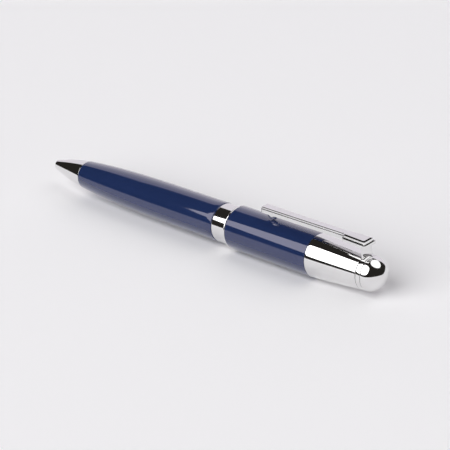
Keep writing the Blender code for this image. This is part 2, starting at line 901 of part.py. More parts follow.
def clip_head():
    """The head's levels, joined level to level from its straight side to its flat top."""
    top = clip_bottom + head_thickness
    riser_foot = top - head_bevel_drop - head_riser
    levels = [
        head_level(0.0, clip_bottom),
        head_level(0.0, riser_foot - head_bevel_drop),
        head_level(head_bevel, riser_foot),
        head_level(head_bevel, top - head_bevel_drop),
        head_level(2 * head_bevel, top),
    ]
    work = bmesh.new()
    rings = [[work.verts.new(co) for co in level] for level in levels]
    for lower, upper in zip(rings, rings[1:]):
        for i in range(len(lower)):
            j = (i + 1) % len(lower)
            work.faces.new((lower[i], lower[j], upper[j], upper[i]))
    work.faces.new(rings[0])
    work.faces.new(rings[-1])
    bmesh.ops.recalc_face_normals(work, faces=work.faces)
    mesh = bpy.data.meshes.new("clip_head")
    work.to_mesh(mesh)
    work.free()
    return add_object("clip_head", mesh, cutters, None, world_point(0.0))


def clip_bump():
    """The bump under the arm that grips the pocket: half an egg that reaches down to the barrel."""
    depth = arm_gap - bump_gap
    points = [(0.0, clip_bottom + weld_depth), (bump_radius, clip_bottom + weld_depth)]
    for i in range(corner_steps):
        angle = math.pi / 2 * i / corner_steps
        points.append((bump_radius * math.cos(angle), clip_bottom - depth * math.sin(angle)))
    points.append((0.0, clip_bottom - depth))
    verts = [(radius, 0.0, height) for radius, height in points]
    edges = [(i, i + 1) for i in range(len(points) - 1)]
    mesh = bpy.data.meshes.new("clip_bump")
    mesh.from_pydata(verts, edges, [])
    bump = add_object("clip_bump", mesh, cutters, None, world_point(arm_end + bump_setback))
    turn(bump, post_steps)
    return bump


def clip():
    arm = mesh_of_outline("clip", arm_side_outline(), arm_end_width, pen, clip_flex, 0.0, True)
    plan_top = clip_bottom + 2 * head_thickness
    plan = add_plate("arm_plan", arm_plan_outline(), upper_radius, plan_top, cutters)
    cut(arm, make_cutter(plan), "INTERSECT")
    cut(arm, make_cutter(clip_head()), "UNION")
    neck = add_box(
        "clip_neck",
        (neck_front, -neck_width / 2, clip_ring_radius / 2),
        (neck_front + neck_thickness, neck_width / 2, clip_bottom + weld_depth),
        cutters,
    )
    cut(arm, make_cutter(neck), "UNION")
    cut(arm, make_cutter(clip_bump()), "UNION")
    saddle = turned_solid(
        "clip_saddle",
        straight(neck_station - clip_ring_length, neck_station + clip_ring_length, flex_height),
        round_steps,
        cutters,
    )
    cut(arm, make_cutter(saddle))
    chrome(arm)


clear_scene()
pen = new_collection("ballpoint_pen")
cutters = new_collection("cutters")
smoothing = smoothing_group()

# Joint axes: the upper body turns about the pen's axis and the refill slides along it.
# The clip flexes at its foot.
upper_twist = add_empty("upper_twist", world_point(upper_front))
refill_slide = add_empty("refill_slide", world_point(refill_rear))
clip_flex = add_empty("clip_flex", world_point(neck_station, 0.0, flex_height), upper_twist)

nose_cone()
nose_bush()
lower_barrel()
rear_bush()
centre_ring()
mechanism_base()
friction_o_ring()
retaining_ring()
return_spring()
refill_ball()
refill_point()
refill_neck()
refill_tube()
ink_column()
refill_end_cap()
slider()
follower_pin()
cam_sleeve()
upper_liner()
upper_barrel()
top_sleeve()
clamp_stud()
stud_nut()
lock_washer()
clip_ring()
end_dome()
clip()

for piece in pen.objects:
    if piece.type == "MESH":
        shade_round(piece)
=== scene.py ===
import json
import math

import bmesh
import bpy
from mathutils import Matrix, Vector


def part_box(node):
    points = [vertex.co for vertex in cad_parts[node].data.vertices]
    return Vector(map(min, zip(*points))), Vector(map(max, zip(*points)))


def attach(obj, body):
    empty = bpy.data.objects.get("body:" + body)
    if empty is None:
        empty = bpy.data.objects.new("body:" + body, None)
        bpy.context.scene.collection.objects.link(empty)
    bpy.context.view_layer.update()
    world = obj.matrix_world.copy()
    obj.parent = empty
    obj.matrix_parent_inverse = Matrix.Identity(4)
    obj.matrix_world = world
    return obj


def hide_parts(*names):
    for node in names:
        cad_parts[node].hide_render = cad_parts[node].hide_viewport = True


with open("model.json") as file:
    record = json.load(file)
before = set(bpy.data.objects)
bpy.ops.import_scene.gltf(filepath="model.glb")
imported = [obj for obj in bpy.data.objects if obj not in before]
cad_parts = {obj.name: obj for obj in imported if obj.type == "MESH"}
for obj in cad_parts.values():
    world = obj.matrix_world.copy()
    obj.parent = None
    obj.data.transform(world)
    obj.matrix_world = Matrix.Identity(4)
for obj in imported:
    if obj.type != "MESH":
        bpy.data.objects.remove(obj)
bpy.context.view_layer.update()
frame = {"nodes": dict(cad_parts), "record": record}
nodes = frame["nodes"]
print("frame loaded:", len(nodes), "nodes")

mm = 0.001
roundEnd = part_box("end_dome")[1].x
roundEndStation = 137.0  # stations are in mm along the pen and grow from the nose to the round end
stationZero = roundEnd - roundEndStation * mm
axisHeight = (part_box("upper_barrel")[0].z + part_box("upper_barrel")[1].z) / 2
lyingRadius = axisHeight / mm  # in mm: the pen lies on its upper barrel


def linear(hexCode):  # sRGB hex to the linear colour that the shader wants
    channels = [int(hexCode[i : i + 2], 16) / 255 for i in (1, 3, 5)]
    return [c / 12.92 if c <= 0.04045 else ((c + 0.055) / 1.055) ** 2.4 for c in channels] + [1.0]


def addNode(tree, kind, inputs=None, **settings):
    node = tree.nodes.new(kind)
    for name, value in settings.items():
        setattr(node, name, value)
    for socket, value in (inputs or {}).items():
        if isinstance(value, bpy.types.NodeSocket):
            tree.links.new(value, node.inputs[socket])
        else:
            node.inputs[socket].default_value = value
    return node


def newMaterial(name):
    material = bpy.data.materials.new(name)
    material.use_nodes = True
    tree = material.node_tree
    tree.nodes.clear()
    return material, tree, tree.nodes.new("ShaderNodeOutputMaterial")


def perMetre(sizeMm):
    return 1000.0 / sizeMm  # texture scale for a feature of this size


# Sprayed and baked lacquer over a brass tube, then buffed. The eye sees deep navy under a hard clear coat,
# with a trace of orange peel and hairlines from handling.
lacquerLook = {
    "pigment": "#203059",
    "pigmentDeep": "#1E2D54",
    "cloudMm": 9.0,
    "ior": 1.74,
    "sheen": "#F7F0FF",
    "coatIor": 1.55,
    "coatRoughness": 0.02,
    "coatWeight": 0.9,
    "coatFacing": (0.44, 0.66),  # the coat only tells where the surface turns away
    "orangePeelMm": 1.6,
    "orangePeelHeightMm": 0.0004,
    "hairlineMm": 0.35,  # real ones are finer, and these are as coarse as they need to be to show
    "hairlineStretch": 0.06,
    "hairlineRange": (0.45, 0.8),
    "roughness": (0.022, 0.05),
}


def polishedLacquer():
    look = lacquerLook
    material, tree, output = newMaterial("polishedNavyLacquer")
    place = addNode(tree, "ShaderNodeTexCoord").outputs["Object"]
    cloud = addNode(
        tree, "ShaderNodeTexNoise", {"Vector": place, "Scale": perMetre(look["cloudMm"]), "Detail": 2.0}
    )
    pigment = addNode(
        tree,
        "ShaderNodeMix",
        {"Factor": cloud.outputs["Fac"], "A": linear(look["pigment"]), "B": linear(look["pigmentDeep"])},
        data_type="RGBA",
    )
    # hairlines run round the barrel, as they do on a pen that is turned in the fingers
    stretch = look["hairlineStretch"]
    stretched = addNode(tree, "ShaderNodeMapping", {"Vector": place, "Scale": (1.0, stretch, stretch)})
    hairline = addNode(
        tree,
        "ShaderNodeTexNoise",
        {"Vector": stretched.outputs["Vector"], "Scale": perMetre(look["hairlineMm"]), "Detail": 5.0},
    )
    least, most = look["hairlineRange"]
    low, high = look["roughness"]
    gloss = addNode(
        tree,
        "ShaderNodeMapRange",
        {
            "Value": hairline.outputs["Fac"],
            "From Min": least,
            "From Max": most,
            "To Min": low,
            "To Max": high,
        },
    )
    peel = addNode(
        tree,
        "ShaderNodeTexNoise",
        {"Vector": place, "Scale": perMetre(look["orangePeelMm"]), "Detail": 1.0},
    )
    bump = addNode(
        tree,
        "ShaderNodeBump",
        {"Height": peel.outputs["Fac"], "Distance": look["orangePeelHeightMm"] * mm, "Strength": 1.0},
    )
    facing = addNode(tree, "ShaderNodeLayerWeight", {"Blend": 0.5})
    near, far = look["coatFacing"]
    coat = addNode(
        tree,
        "ShaderNodeMapRange",
        {
            "Value": facing.outputs["Facing"],
            "From Min": near,
            "From Max": far,
            "To Min": 0.0,
            "To Max": look["coatWeight"],
        },
    )
    shader = addNode(
        tree,
        "ShaderNodeBsdfPrincipled",
        {
            "Base Color": pigment.outputs["Result"],
            "Roughness": gloss.outputs["Result"],
            "Normal": bump.outputs["Normal"],
            "IOR": look["ior"],
            "Specular Tint": linear(look["sheen"]),
            "Coat Weight": coat.outputs["Result"],
            "Coat IOR": look["coatIor"],
            "Coat Roughness": look["coatRoughness"],
        },
    )
    tree.links.new(shader.outputs["BSDF"], output.inputs["Surface"])
    return material


# Nickel and chromium plated over polished brass. The eye sees a mirror, a little hazy where fingers have
# been, with faint buffing lines round it.
platingLook = {
    "colour": "#EDEDEE",
    "hazeColour": "#E3E2E1",
    "hazeMm": 5.0,
    "buffingMm": 0.25,  # coarser than real buffing, so that it shows
    "buffingStretch": 0.05,
    "wearRange": (0.15, 0.5),
    "roughness": (0.018, 0.055),
    "waveMm": 3.0,
    "waveHeightMm": 0.0003,
}


def brightPlating():
    look = platingLook
    material, tree, output = newMaterial("brightChromiumPlating")
    place = addNode(tree, "ShaderNodeTexCoord").outputs["Object"]
    haze = addNode(
        tree,
        "ShaderNodeTexNoise",
        {"Vector": place, "Scale": perMetre(look["hazeMm"]), "Detail": 3.0, "Roughness": 0.6},
    )
    tint = addNode(
        tree,
        "ShaderNodeMix",
        {"Factor": haze.outputs["Fac"], "A": linear(look["colour"]), "B": linear(look["hazeColour"])},
        data_type="RGBA",
    )
    stretch = look["buffingStretch"]
    stretched = addNode(tree, "ShaderNodeMapping", {"Vector": place, "Scale": (1.0, stretch, stretch)})
    buffing = addNode(
        tree,
        "ShaderNodeTexNoise",
        {"Vector": stretched.outputs["Vector"], "Scale": perMetre(look["buffingMm"]), "Detail": 4.0},
    )
    wear = addNode(
        tree,
        "ShaderNodeMath",
        {0: buffing.outputs["Fac"], 1: haze.outputs["Fac"]},
        operation="MULTIPLY",
    )
    least, most = look["wearRange"]
    low, high = look["roughness"]
    gloss = addNode(
        tree,
        "ShaderNodeMapRange",
        {
            "Value": wear.outputs["Value"],
            "From Min": least,
            "From Max": most,
            "To Min": low,
            "To Max": high,
        },
    )
    wave = addNode(
        tree, "ShaderNodeTexNoise", {"Vector": place, "Scale": perMetre(look["waveMm"]), "Detail": 0.0}
    )
    bump = addNode(
        tree,
        "ShaderNodeBump",
        {"Height": wave.outputs["Fac"], "Distance": look["waveHeightMm"] * mm, "Strength": 1.0},
    )
    shader = addNode(
        tree,
        "ShaderNodeBsdfPrincipled",
        {
            "Base Color": tint.outputs["Result"],
            "Metallic": 1.0,
            "Roughness": gloss.outputs["Result"],
            "Normal": bump.outputs["Normal"],
        },
    )
    tree.links.new(shader.outputs["BSDF"], output.inputs["Surface"])
    return material


# Brass turned on a lathe and steel drawn or turned, left as the tool left them. The eye sees a soft gloss
# with rings in it. The rings are coarser than real tool marks, so that they show.
metalLooks = {
    "brass": {
        "name": "turnedBrass",
        "colour": "#D9B568",
        "tarnish": "#B98F45",
        "patchMm": 2.5,
        "ringMm": 0.754,
        "ringHeightMm": 0.002,
        "roughness": (0.18, 0.34),
    },
    "steel": {
        "name": "drawnSteel",
        "colour": "#C9CACC",
        "tarnish": "#B4B4B6",
        "patchMm": 2.5,
        "ringMm": 0.503,
        "ringHeightMm": 0.002,
        "roughness": (0.22, 0.38),
    },
}
bandsPerUnit = 20.0 / (2 * math.pi)  # what Blender's wave texture draws at a scale of 1


def turnedMetal(look):
    material, tree, output = newMaterial(look["name"])
    place = addNode(tree, "ShaderNodeTexCoord").outputs["Object"]
    patch = addNode(
        tree, "ShaderNodeTexNoise", {"Vector": place, "Scale": perMetre(look["patchMm"]), "Detail": 4.0}
    )
    tint = addNode(
        tree,
        "ShaderNodeMix",
        {"Factor": patch.outputs["Fac"], "A": linear(look["colour"]), "B": linear(look["tarnish"])},
        data_type="RGBA",
    )
    ringScale = perMetre(look["ringMm"]) / bandsPerUnit
    rings = addNode(
        tree,
        "ShaderNodeTexWave",
        {"Vector": place, "Scale": ringScale, "Distortion": 0.6, "Detail": 2.0},
        bands_direction="X",
    )
    low, high = look["roughness"]
    gloss = addNode(
        tree, "ShaderNodeMapRange", {"Value": patch.outputs["Fac"], "To Min": low, "To Max": high}
    )
    bump = addNode(
        tree,
        "ShaderNodeBump",
        {"Height": rings.outputs["Fac"], "Distance": look["ringHeightMm"] * mm, "Strength": 0.6},
    )
    shader = addNode(
        tree,
        "ShaderNodeBsdfPrincipled",
        {
            "Base Color": tint.outputs["Result"],
            "Metallic": 1.0,
            "Roughness": gloss.outputs["Result"],
            "Normal": bump.outputs["Normal"],
        },
    )
    tree.links.new(shader.outputs["BSDF"], output.inputs["Surface"])
    return material


# Acetal moulded in a spark-eroded tool has a fine even grain, nitrile rubber is matt and nearly black, and
# paste ink is smooth and wet.
mouldedLooks = {
    "plastic": {
        "name": "mouldedAcetal",
        "colour": "#DCDAD1",
        "shade": "#CFCCC2",
        "shadeMm": 3.0,
        "grainMm": 0.12,
        "grainHeightMm": 0.004,
        "roughness": (0.37, 0.5),
        "ior": 1.48,
    },
    "rubber": {
        "name": "nitrileRubber",
        "colour": "#1B1B1C",
        "shade": "#232324",
        "shadeMm": 3.0,
        "grainMm": 0.08,
        "grainHeightMm": 0.006,
        "roughness": (0.57, 0.7),
        "ior": 1.52,
    },
    "ink": {
        "name": "pasteInk",
        "colour": "#0E1330",
        "shade": "#141B40",
        "shadeMm": 3.0,
        "grainMm": 0.5,
        "grainHeightMm": 0.001,
        "roughness": (0.07, 0.2),
        "ior": 1.45,
    },
}


def mouldedMaterial(look):
    material, tree, output = newMaterial(look["name"])
    place = addNode(tree, "ShaderNodeTexCoord").outputs["Object"]
    grain = addNode(
        tree, "ShaderNodeTexNoise", {"Vector": place, "Scale": perMetre(look["grainMm"]), "Detail": 4.0}
    )
    patch = addNode(
        tree, "ShaderNodeTexNoise", {"Vector": place, "Scale": perMetre(look["shadeMm"]), "Detail": 2.0}
    )
    tint = addNode(
        tree,
        "ShaderNodeMix",
        {"Factor": patch.outputs["Fac"], "A": linear(look["colour"]), "B": linear(look["shade"])},
        data_type="RGBA",
    )
    low, high = look["roughness"]
    gloss = addNode(
        tree, "ShaderNodeMapRange", {"Value": grain.outputs["Fac"], "To Min": low, "To Max": high}
    )
    bump = addNode(
        tree,
        "ShaderNodeBump",
        {"Height": grain.outputs["Fac"], "Distance": look["grainHeightMm"] * mm, "Strength": 0.5},
    )
    shader = addNode(
        tree,
        "ShaderNodeBsdfPrincipled",
        {
            "Base Color": tint.outputs["Result"],
            "Roughness": gloss.outputs["Result"],
            "Normal": bump.outputs["Normal"],
            "IOR": look["ior"],
        },
    )
    tree.links.new(shader.outputs["BSDF"], output.inputs["Surface"])
    return material


slotMaterials = {"blue_lacquer": polishedLacquer(), "chrome_plate": brightPlating()}
for slotName, metalLook in metalLooks.items():
    slotMaterials[slotName] = turnedMetal(metalLook)
for slotName, mouldedLook in mouldedLooks.items():
    slotMaterials[slotName] = mouldedMaterial(mouldedLook)

# every CAD node that stays gets its own finish
for row in frame["record"]["subparts"]:
    mesh = nodes[row["node"]].data
    mesh.materials.clear()
    mesh.materials.append(slotMaterials[row["material_slot"]])
print("materials made:", len(slotMaterials))


# Corners are (station, radius or width, fillet) in mm, in order. Each one with a fillet becomes an arc.
def roundedOutline(corners, steps=7):
    outline = []
    for i, (station, radius, fillet) in enumerate(corners):
        here = Vector((station, radius))
        if fillet <= 0:
            outline.append(here)
            continue
        before = Vector(corners[i - 1][:2]) - here
        after = Vector(corners[(i + 1) % len(corners)][:2]) - here
        half = before.angle(after) / 2
        reach = fillet / math.tan(half)
        inward = (before.normalized() + after.normalized()).normalized()
        centre = here + inward * (fillet / math.sin(half))
        first = here + before.normalized() * reach - centre
        last = here + after.normalized() * reach - centre
        sweep = math.pi - 2 * half
        turn = sweep if first.x * last.y - first.y * last.x > 0 else -sweep
        for k in range(steps + 1):
            angle = turn * k / steps
            cosine, sine = math.cos(angle), math.sin(angle)
            outline.append(
                centre + Vector((first.x * cosine - first.y * sine, first.x * sine + first.y * cosine))
            )
    return outline


# A lathe piece about the pen's axis. A radius of 0 closes it on the axis.
def turnedShell(name, corners, slot, body, replaced, turns=160, flatAngle=32):
    outline = roundedOutline(corners)
    work = bmesh.new()
    rings = []
    for station, radius in outline:
        x = stationZero + station * mm
        if radius < 1e-6:
            rings.append([work.verts.new((x, 0.0, axisHeight))])
            continue
        ring = []
        for k in range(turns):
            angle = 2 * math.pi * k / turns
            ring.append(
                work.verts.new(
                    (x, radius * mm * math.sin(angle), axisHeight - radius * mm * math.cos(angle))
                )
            )
        rings.append(ring)
    for i, ring in enumerate(rings):
        nextRing = rings[(i + 1) % len(rings)]
        for k in range(turns):
            j = (k + 1) % turns
            if len(ring) == 1 and len(nextRing) == 1:
                break
            if len(ring) == 1:
                work.faces.new((ring[0], nextRing[k], nextRing[j]))
            elif len(nextRing) == 1:
                work.faces.new((ring[k], ring[j], nextRing[0]))
            else:
                work.faces.new((ring[k], ring[j], nextRing[j], nextRing[k]))
    bmesh.ops.recalc_face_normals(work, faces=work.faces)
    mesh = bpy.data.meshes.new(name)
    work.to_mesh(mesh)
    work.free()
    mesh.shade_smooth()
    mesh.set_sharp_from_angle(angle=math.radians(flatAngle))
    shell = bpy.data.objects.new(name, mesh)
    bpy.context.scene.collection.objects.link(shell)
    dress(shell, slot, body, replaced)
    weighted = shell.modifiers.new("evenHighlights", "WEIGHTED_NORMAL")
    weighted.keep_sharp = True
    return shell


def dress(piece, slot, body, replaced):
    piece.data.materials.clear()
    piece.data.materials.append(slotMaterials[slot])
    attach(piece, body)
    if replaced:
        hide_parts(*replaced)


# Points of a barrel that swells from its front radius to its rear one, close together at the front
def swelling(front, rear, frontRadius, rearRadius, fullness, steps):
    points = []
    for i in range(steps + 1):
        share = (i / steps) ** 1.5
        radius = rearRadius - (rearRadius - frontRadius) * (1 - share) ** fullness
        points.append((front + (rear - front) * share, radius, 0.0))
    return points


# Nose: turned from brass and plated, open at the tip, with the thread that holds it inside the barrel
nose = {
    "tip": 1.05,
    "rear": 14.7,
    "mouthRadius": 1.25,
    "tipRadius": 1.55,
    "rearRadius": 4.2,
    "fullness": 1.45,
    "curveSteps": 26,
    "tipRound": 0.13,
    "mouthRound": 0.08,
    "rearRound": 0.06,
    "threadRadius": 3.5,
    "threadRear": 20.2,
    "threadRound": 0.2,
    "springBore": 3.1,
    "springBoreFront": 10.4,
    "springSeat": 8.4,
    "springSeatRadius": 2.45,
    "pointBore": 1.85,
    "pointBoreFront": 5.0,
}


def makeNose():
    n = nose
    steps = n["curveSteps"]
    outline = swelling(n["tip"], n["rear"], n["tipRadius"], n["rearRadius"], n["fullness"], steps)
    outline[0] = (n["tip"], n["tipRadius"], n["tipRound"])
    outline[-1] = (n["rear"], n["rearRadius"], n["rearRound"])
    del outline[1]  # too close to the tip for its round edge
    outline += [
        (n["rear"], n["threadRadius"], 0.0),
        (n["threadRear"], n["threadRadius"], n["threadRound"]),
        # the bore, from the rear back to the mouth, as the spring and the refill need it
        (n["threadRear"], n["springBore"], 0.0),
        (n["springBoreFront"], n["springBore"], 0.0),
        (n["springSeat"], n["springSeatRadius"], 0.0),
        (n["springSeat"], n["pointBore"], 0.0),
        (n["pointBoreFront"], n["pointBore"], 0.0),
        (n["pointBoreFront"], n["mouthRadius"], 0.0),
        (n["tip"], n["mouthRadius"], n["mouthRound"]),
    ]
    turnedShell("noseShell", outline, "chrome_plate", "lower_body", ["nose_cone"])


makeNose()

# Lower barrel: drawn brass tube, spun down towards the nose and lacquered
lowerBarrel = {
    "front": 14.8,
    "rear": 74.6,
    "frontRadius": 4.3,
    "rearRadius": 5.85,
    "fullness": 3.9,
    "curveSteps": 40,
    "frontRound": 0.21,
    "rearRound": 0.3,
    "clearOfFront": 0.5,  # points nearer to the front would lie inside its round edge
    "wall": 0.4,
    "wallReach": (22.0, 61.0),  # the tube is spun, so its inside follows its outside between these
    "rearBore": (61.7, 5.3),  # the station where each bore ends, and its radius
    "rearBoreStep": (61.4, 5.43),
    "frontBore": (21.3, 3.95),
}


def makeLowerBarrel():
    b = lowerBarrel
    steps = b["curveSteps"]
    outline = swelling(b["front"], b["rear"], b["frontRadius"], b["rearRadius"], b["fullness"], steps)
    clear = b["front"] + b["clearOfFront"]
    outline = outline[:1] + [corner for corner in outline[1:] if corner[0] > clear]
    outline[0] = outline[0][:2] + (b["frontRound"],)
    outline[-1] = outline[-1][:2] + (b["rearRound"],)
    rearEnd, rearRadius = b["rearBore"]
    frontEnd, frontRadius = b["frontBore"]
    inner = [(b["rear"], rearRadius, 0.0), (rearEnd, rearRadius, 0.0), b["rearBoreStep"] + (0.0,)]
    first, last = b["wallReach"]
    for station, radius, _ in outline[::-1]:
        if first < station < last:
            inner.append((station, radius - b["wall"], 0.0))
    inner += [(frontEnd, frontRadius, 0.0), (b["front"], frontRadius, 0.0)]
    turnedShell("lowerBarrelShell", outline + inner, "blue_lacquer", "lower_body", ["lower_barrel"])


makeLowerBarrel()

# Centre ring: a turned and plated band over the joint between the barrels, with a bead at its rear
centreRing = {
    "front": 74.7,
    "rear": 80.7,
    "radius": 5.82,
    "frontRound": 0.3,
    "beadFront": 80.15,
    "beadRadius": 6.45,
    "beadRound": 0.26,
    "bore": 4.6,
    "boreRound": 0.05,
}


def makeCentreRing():
    r = centreRing
    outline = [
        (r["front"], r["radius"], r["frontRound"]),
        (r["beadFront"], r["radius"], 0.0),
        (r["beadFront"], r["beadRadius"], r["beadRound"]),
        (r["rear"], r["beadRadius"], r["beadRound"]),
        (r["rear"], r["bore"], r["boreRound"]),
        (r["front"], r["bore"], r["boreRound"]),
    ]
    turnedShell("centreRingShell", outline, "chrome_plate", "lower_body", ["centre_ring"])


makeCentreRing()

# Upper barrel: the lacquered tube that is turned to bring the point out
upperBarrel = {
    "front": 80.8,
    "rear": 112.5,
    "frontRound": 0.3,
    "rearRound": 0.1,
    "bore": 6.0,
    "boreRound": 0.05,
}


def makeUpperBarrel():
    b = upperBarrel
    outline = [
        (b["front"], lyingRadius, b["frontRound"]),
        (b["rear"], lyingRadius, b["rearRound"]),
        (b["rear"], b["bore"], b["boreRound"]),
        (b["front"], b["bore"], b["boreRound"]),
    ]
    turnedShell("upperBarrelShell", outline, "blue_lacquer", "upper_body", ["upper_barrel"])


makeUpperBarrel()

# Top sleeve: plated, narrows towards the clip in a slow curve. Its spigot reaches into the upper barrel.
topSleeve = {
    "front": 112.6,
    "rear": 130.6,
    "rearRadius": 5.2,
    "fullness": 1.15,
    "curveSteps": 24,
    "frontRound": 0.06,
    "rearRound": 0.12,
    "spigotFront": 105.85,
    "spigotRadius": 5.45,
    "spigotRound": 0.1,
    "bore": 4.75,
    "endWallFront": 127.6,
    "endWallRadius": 4.5,
    "endWallRound": 0.3,
    "studBore": 1.3,
}


def makeTopSleeve():
    s = topSleeve
    curve = []
    for i in range(s["curveSteps"] + 1):
        share = i / s["curveSteps"]
        radius = lyingRadius - (lyingRadius - s["rearRadius"]) * share ** s["fullness"]
        curve.append((s["front"] + (s["rear"] - s["front"]) * share, radius, 0.0))
    curve[0] = curve[0][:2] + (s["frontRound"],)
    curve[-1] = curve[-1][:2] + (s["rearRound"],)
    outline = [
        (s["spigotFront"], s["spigotRadius"], s["spigotRound"]),
        (s["front"], s["spigotRadius"], 0.0),
        *curve,
        (s["rear"], s["studBore"], 0.0),
        (s["endWallFront"], s["studBore"], 0.0),
        (s["endWallFront"], s["endWallRadius"], s["endWallRound"]),
        (s["front"], s["bore"], 0.0),
        (s["spigotFront"], s["bore"], 0.0),
    ]
    turnedShell("topSleeveShell", outline, "chrome_plate", "upper_body", ["top_sleeve"])


makeTopSleeve()

# Clip ring: the washer that the clip's neck stands on, clamped between sleeve and end piece
clipRing = {
    "front": 130.7,
    "rear": 132.2,
    "frontRadius": 5.15,
    "rearRadius": 5.06,
    "round": 0.12,
    "bore": 1.3,
}


def makeClipRing():
    r = clipRing
    outline = [
        (r["front"], r["frontRadius"], r["round"]),
        (r["rear"], r["rearRadius"], r["round"]),
        (r["rear"], r["bore"], 0.0),
        (r["front"], r["bore"], 0.0),
    ]
    turnedShell("clipRingShell", outline, "chrome_plate", "upper_body", ["clip_ring"])


makeClipRing()

# Round end piece, with the hole for the stud that clamps it to the sleeve
endDome = {
    "front": 132.3,
    "length": 4.7,
    "radius": 5.06,
    "fullness": 0.6,
    "curveSteps": 32,
    "clearOfEdge": 0.1,  # share of the length without points, where the edge is round
    "edgeRound": 0.12,
    "studBore": 1.3,
    "studBoreDepth": 3.0,
}


def makeEndDome():
    d = endDome
    outline = [(d["front"], d["radius"], d["edgeRound"])]
    for i in range(1, d["curveSteps"]):
        share = math.sin(math.pi / 2 * i / d["curveSteps"])
        radius = d["radius"] * (1 - share**2) ** d["fullness"]
        if share > d["clearOfEdge"]:
            outline.append((d["front"] + share * d["length"], radius, 0.0))
    boreEnd = d["front"] + d["studBoreDepth"]
    outline += [
        (d["front"] + d["length"], 0.0, 0.0),
        (boreEnd, 0.0, 0.0),
        (boreEnd, d["studBore"], 0.0),
        (d["front"], d["studBore"], 0.0),
    ]
    turnedShell("endDomeShell", outline, "chrome_plate", "upper_body", ["end_dome"])


makeEndDome()
print("turned shells made")


# Clip: a bar with a wider head, polished and plated. Its edges are stepped: a shallow bevel, an upright
# riser and a second bevel. The eye sees two dark lines with a pale one between them, thin along the arm
# and bold round the head.
clip = {
    "armEnd": 91.85,
    "armEndWidth": 3.05,
    "armRootWidth": 2.65,
    "armCorner": 0.6,
    "armEndThickness": 1.7,
    "armRootThickness": 1.78,
    "armBevel": 0.22,
    "armBevelDrop": 0.1,
    "armRiser": 0.4,
    "headFront": 123.2,
    "headRear": 132.8,
    "headFrontWidth": 4.3,
    "headRearWidth": 5.0,
    "headThickness": 1.85,
    "headFlare": 1.1,
    "headFlareRound": 0.3,
    "headCorner": 0.65,
    "headBevel": 0.52,
    "headBevelDrop": 0.23,
    "headRiser": 0.58,
    "headLap": 0.25,
    "underside": 8.6,  # above the pen's axis
    "cornerSteps": 10,
    "rooting": 0.3,  # how far neck and bump reach up into the blade
    "edgeRound": 0.02,
    "neckFront": 130.75,
    "neckRear": 131.35,
    "neckWidth": 3.9,
    "neckRound": 0.08,
    "saddle": 5.27,  # radius of the neck's foot about the pen's axis
    "bumpStation": 95.3,
    "bumpDepth": 1.95,
    "bumpLength": 1.8,  # half its length along the arm
    "bumpRadius": 1.35,
}


def clipPoint(station, across, height):
    return Vector((stationZero + station * mm, across * mm, axisHeight + height * mm))


def addMesh(name, work):
    bmesh.ops.recalc_face_normals(work, faces=work.faces)
    mesh = bpy.data.meshes.new(name)
    work.to_mesh(mesh)
    work.free()
    thing = bpy.data.objects.new(name, mesh)
    bpy.context.scene.collection.objects.link(thing)
    return thing


def closedBody(name, levels):  # joins rings of points, lowest first
    work = bmesh.new()
    rings = [[work.verts.new(clipPoint(*point)) for point in level] for level in levels]
    for lower, upper in zip(rings, rings[1:]):
        for i in range(len(lower)):
            j = (i + 1) % len(lower)
            work.faces.new((lower[i], lower[j], upper[j], upper[i]))
    work.faces.new(rings[0])
    work.faces.new(rings[-1])
    return addMesh(name, work)


# outline(inset) gives the plan drawn in by an inset, and top(station) the height of the flat top
def steppedBar(name, outline, top, bevel, drop, riser):
    levels = [[(station, across, clip["underside"]) for station, across in outline(0.0)]]
    steps = [(0.0, 2 * drop + riser), (bevel, drop + riser), (bevel, drop), (2 * bevel, 0.0)]
    for inset, depth in steps:
        levels.append([(station, across, top(station) - depth) for station, across in outline(inset)])
    return closedBody(name, levels)


def armOutline(inset):
    c = clip
    root = c["headFront"] + 1.5 * c["headFlare"]  # inside the head
    halfRoot = c["armRootWidth"] / 2 - inset
    halfEnd = c["armEndWidth"] / 2 - inset
    end = c["armEnd"] + inset
    fillet = c["armCorner"] - inset
    near = [(root, halfRoot, 0.0), (end, halfEnd, fillet)]
    return roundedOutline(near + mirrored(near), c["cornerSteps"])


def mirrored(corners):  # the same corners on the clip's other side, in reverse
    return [(station, -across, fillet) for station, across, fillet in corners[::-1]]


def armTop(station):
    c = clip
    share = (station - c["armEnd"]) / (c["headFront"] + c["headFlare"] - c["armEnd"])
    thickness = c["armEndThickness"] + (c["armRootThickness"] - c["armEndThickness"]) * share
    return c["underside"] + thickness


def headOutline(inset):
    c = clip
    halfArm = c["armRootWidth"] / 2 - c["headLap"] - inset / 2
    halfFront = c["headFrontWidth"] / 2 - inset
    halfRear = c["headRearWidth"] / 2 - inset
    front, flare, rear = c["headFront"], c["headFront"] + c["headFlare"], c["headRear"] - inset
    fillet = c["headCorner"] - 0.25 * inset
    near = [(front, halfArm, 0.0), (flare, halfFront, c["headFlareRound"]), (rear, halfRear, fillet)]
    return roundedOutline(near + mirrored(near), c["cornerSteps"])


def headTop(station):
    return clip["underside"] + clip["headThickness"]


def makeClip():
    c = clip
    blade = steppedBar("clipBlade", armOutline, armTop, c["armBevel"], c["armBevelDrop"], c["armRiser"])
    head = steppedBar("clipHead", headOutline, headTop, c["headBevel"], c["headBevelDrop"], c["headRiser"])
    join = blade.modifiers.new("joinHead", "BOOLEAN")
    join.object = head
    join.operation = "UNION"
    join.solver = "EXACT"
    applyModifiers(blade)
    bpy.data.objects.remove(head)
    soften(blade, c["edgeRound"], 12)
    dress(blade, "chrome_plate", "clip", ["clip"])


def applyModifiers(piece):
    bpy.context.view_layer.update()
    graph = bpy.context.evaluated_depsgraph_get()
    mesh = bpy.data.meshes.new_from_object(piece.evaluated_get(graph), depsgraph=graph)
    old = piece.data
    piece.modifiers.clear()
    piece.data = mesh
    bpy.data.meshes.remove(old)


